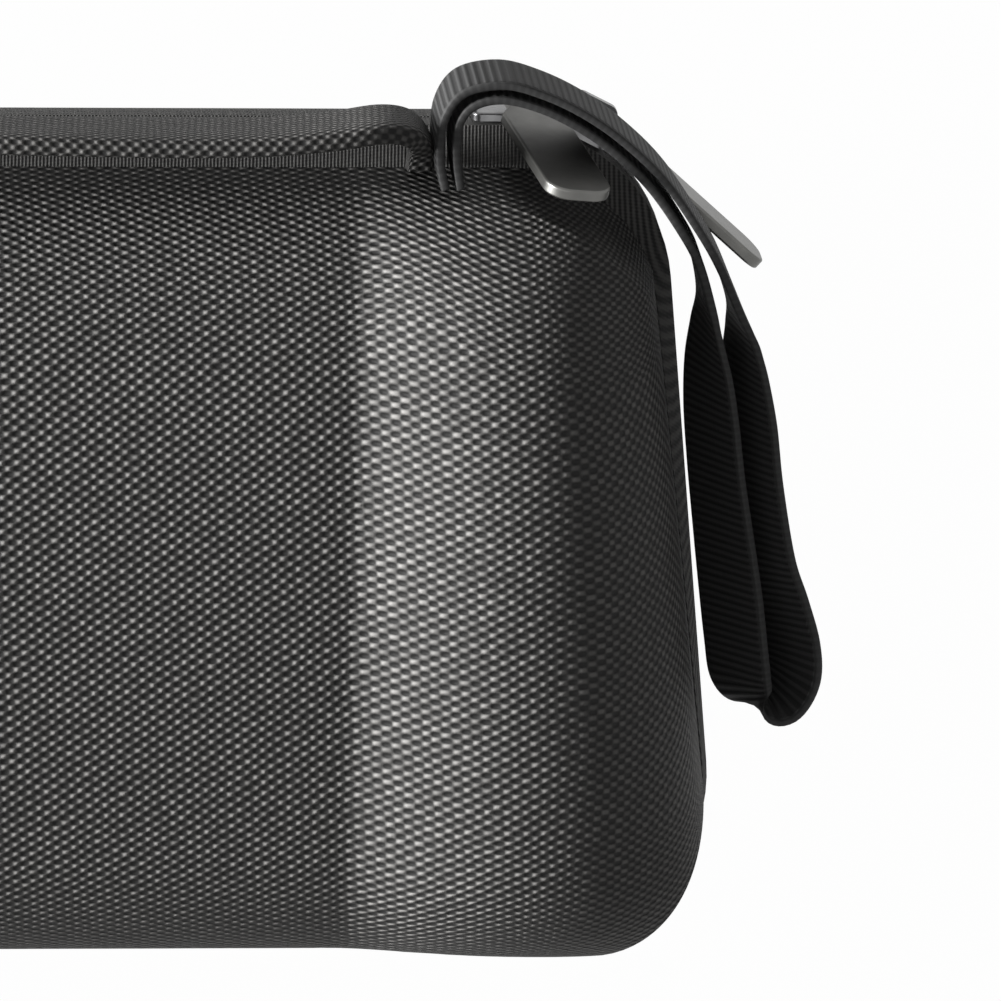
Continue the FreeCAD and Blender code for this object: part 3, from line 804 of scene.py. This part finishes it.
# Hold-down straps and loop patches: ribbed elastic, fixed on one side and closed on a patch on the other.
# The straps stand a little proud of the tray, as slack elastic does.
def elastic_cloth():
    f = Finish("elastic_cloth", roughness=0.8, specular=0.2)
    along = f.attribute("along")
    across = f.attribute("across")
    ribs = (across * (TURN / 1.1)).cos() * 0.5 + 0.5
    picks = (along * (TURN / 0.6)).cos() * 0.5 + 0.5
    f.set("Base Color", f.mix(ribs * 0.7 + picks * 0.3, (0.008, 0.008, 0.008), (0.040, 0.040, 0.040)))
    f.bump(ribs * 0.14 + picks * 0.05)
    return f.material


def loop_pile():
    f = Finish("loop_pile", roughness=0.95, specular=0.1)
    x, y, z = f.place()
    curls = f.noise(f.vector(x, y, z), 3.0, 5.0)
    f.set("Base Color", f.mix(curls.ramp(0.3, 0.7), (0.006, 0.006, 0.006), (0.045, 0.045, 0.045)))
    f.bump(curls * 0.4)
    return f.material


elastic = elastic_cloth()
loops = loop_pile()
HOLD_WIDE = 0.025
HOLD_THICK = 0.0014
PATCH_THICK = 0.0016
PATCH_STEPS = 4
HOLD_LINE = [
    (-58.8, 21.4), (-56.0, 21.4), (-50.0, 22.4), (-25.0, 23.3), (0.0, 23.6), (22.0, 23.3), (42.0, 22.5),
    (50.0, 23.1), (55.2, 23.1)]


def lengthwise(x, line):
    """Frames of a band that runs up and down the tray over x, through (y, z) points in millimetres."""
    found = []
    for i, (y, z) in enumerate(line):
        dy, dz = heading(line, i)
        centre = Vector((x, y / 1000.0, z / 1000.0))
        found.append(frame_at(centre, Vector((0, dy, dz)), Vector((1, 0, 0))))
    return found


for side in ("left", "right"):
    strap_low, strap_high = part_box(side + "_hold_strap")
    x = (strap_low.x + strap_high.x) / 2.0
    band = sweep(side + "_elastic_band", flat_section(HOLD_WIDE, HOLD_THICK, 8, 3.4),
                 lengthwise(x, smooth_run(HOLD_LINE, 6)), elastic)
    patch_low, patch_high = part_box(side + "_loop_patch")
    level = (patch_low.z + patch_high.z) * 500.0
    step = (patch_high.y - patch_low.y) * (1000.0 / PATCH_STEPS)
    run = [(patch_low.y * 1000.0 + k * step, level) for k in range(PATCH_STEPS + 1)]
    pad = sweep(side + "_loop_pad", flat_section(HOLD_WIDE, PATCH_THICK, 8, 3.0), lengthwise(x, run), loops)
    for piece, node, name in ((band, "_hold_strap", "elastic"), (pad, "_loop_patch", "loop_patch")):
        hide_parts(side + node)
        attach(piece, "base")


# Mesh pocket in the lid: an open knit that sags a little, with a sewn trim round three sides
# and a gathered elastic hem at the handle side.
MESH_LEVEL = 0.04235
MESH_THICK = 0.0007
MESH_SAG = 0.0022
MESH_INSET = 0.0062
MESH_LOW = -0.0632
MESH_HIGH = 0.0302
MESH_CORNER = 0.0225
HEM_WIDE = 0.0088
HEM_THICK = 0.0014
HEM_STEPS = 180
HEM_END = 0.001
HEM_DIP = 0.0008
HEM_RIPPLE = 0.00025
HEM_NARROWING = 0.02
HEM_THICKENING = 0.12
GATHER_BEAT = 1.05
GATHER_DRIFT = 0.37
GATHER_DRIFT_REACH = 1.5
TRIM_WIDE = 0.0019
TRIM_THICK = 0.0014
TRIM_OUT = 0.0007
TRIM_CORNER_STEPS = 9
TRIM_STATIONS = (MESH_HIGH, 0.010, -0.010, -0.030)
POCKET_HALF = 0.1495
POCKET_LEAN = 0.0091
MESH_COLUMNS = 48
MESH_ROWS = 24
KNIT_CELL = 2.4
KNIT_HOLE = 0.68


def mesh_side(y):
    """Half width of the pocket at a height y, rounded at its lower corners."""
    corner_y = MESH_LOW + MESH_CORNER
    straight = POCKET_HALF - (max(y, corner_y) - KEEL_WAIST) * POCKET_LEAN / KEEL_RISE - MESH_INSET
    dip = max(0.0, corner_y - y)
    return straight - MESH_CORNER + math.sqrt(max(0.0, MESH_CORNER ** 2 - dip ** 2))


def open_knit():
    f = Finish("open_knit", roughness=0.8, specular=0.2)
    x, y, z = f.place()
    tall = KNIT_CELL * 0.75
    row = (y / tall).floor()
    slid = x / KNIT_CELL + row.math("MODULO", 2.0) * 0.5
    dx = (slid - slid.floor() - 0.5) * KNIT_CELL
    dy = (y / tall - row - 0.5) * tall
    away = (dx * dx + dy * dy * 1.5).root()
    f.set("Base Color", f.mix(away.ramp(0.7, 1.3), (0.010, 0.010, 0.010), (0.045, 0.045, 0.045)))
    f.set("Alpha", away.over(KNIT_HOLE))
    f.bump(away.ramp(0.6, 1.2) * 0.2)
    return f.material


def make_knit():
    bm = bmesh.new()
    bmesh.ops.create_grid(bm, x_segments=MESH_COLUMNS, y_segments=MESH_ROWS, size=1.0)
    for v in bm.verts:
        u, w = v.co.x, v.co.y
        y = MESH_LOW + (MESH_HIGH - MESH_LOW) * (w + 1.0) / 2.0
        sag = (1.0 - u * u) * (1.0 - w * w) * (0.8 + 0.5 * noise.noise(Vector((u * 3.0, w * 2.0, 0))))
        v.co = Vector((u * mesh_side(y), y, MESH_LEVEL - MESH_SAG * sag))
    bmesh.ops.solidify(bm, geom=bm.faces[:], thickness=MESH_THICK)
    bmesh.ops.recalc_face_normals(bm, faces=bm.faces[:])
    pocket = new_piece("knit_pocket", bm, open_knit())
    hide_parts("mesh_pocket")
    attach(pocket, "lid")
    return pocket


def make_trim():
    side = [Vector((mesh_side(y), y)) for y in TRIM_STATIONS]
    for k in range(TRIM_CORNER_STEPS + 1):
        a = TURN / 4.0 * k / TRIM_CORNER_STEPS
        side.append(Vector((mesh_side(MESH_LOW + MESH_CORNER) - MESH_CORNER * (1.0 - math.cos(a)),
                            MESH_LOW + MESH_CORNER * (1.0 - math.sin(a)))))
    path = side + [Vector((-p.x, p.y)) for p in reversed(side)]
    frames = []
    for i, point in enumerate(path):
        run = path[min(i + 1, len(path) - 1)] - path[max(i - 1, 0)]
        out = Vector((-run.y, run.x)).normalized() * TRIM_OUT
        centre = Vector((point.x + out.x, point.y + out.y, MESH_LEVEL))
        frames.append(frame_at(centre, run.to_3d(), Vector((0, 0, 1))))
    trim = sweep("pocket_trim", flat_section(TRIM_WIDE, TRIM_THICK, 4, 2.4), frames, elastic)
    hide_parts("mesh_trim")
    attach(trim, "lid")
    return trim


def make_hem():
    frames = []
    hem_y = MESH_HIGH + HEM_WIDE / 2.0
    reach = mesh_side(hem_y) - HEM_END
    for k in range(HEM_STEPS + 1):
        u = -1.0 + 2.0 * k / HEM_STEPS
        pull = math.sin(k * GATHER_BEAT + GATHER_DRIFT_REACH * math.sin(k * GATHER_DRIFT))
        centre = Vector((u * reach, hem_y - HEM_DIP * (1.0 - u * u), MESH_LEVEL + HEM_RIPPLE * pull))
        wide = 1.0 - HEM_NARROWING * pull
        thick = 1.0 + HEM_THICKENING * pull
        frames.append(frame_at(centre, Vector((1, 0, 0)), Vector((0, 1, 0)), wide, thick))
    hem = sweep("pocket_hem", flat_section(HEM_WIDE, HEM_THICK, 6, 3.0), frames, elastic)
    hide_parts("mesh_hem")
    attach(hem, "lid")
    return hem


pocket = make_knit()
trim = make_trim()
hem = make_hem()
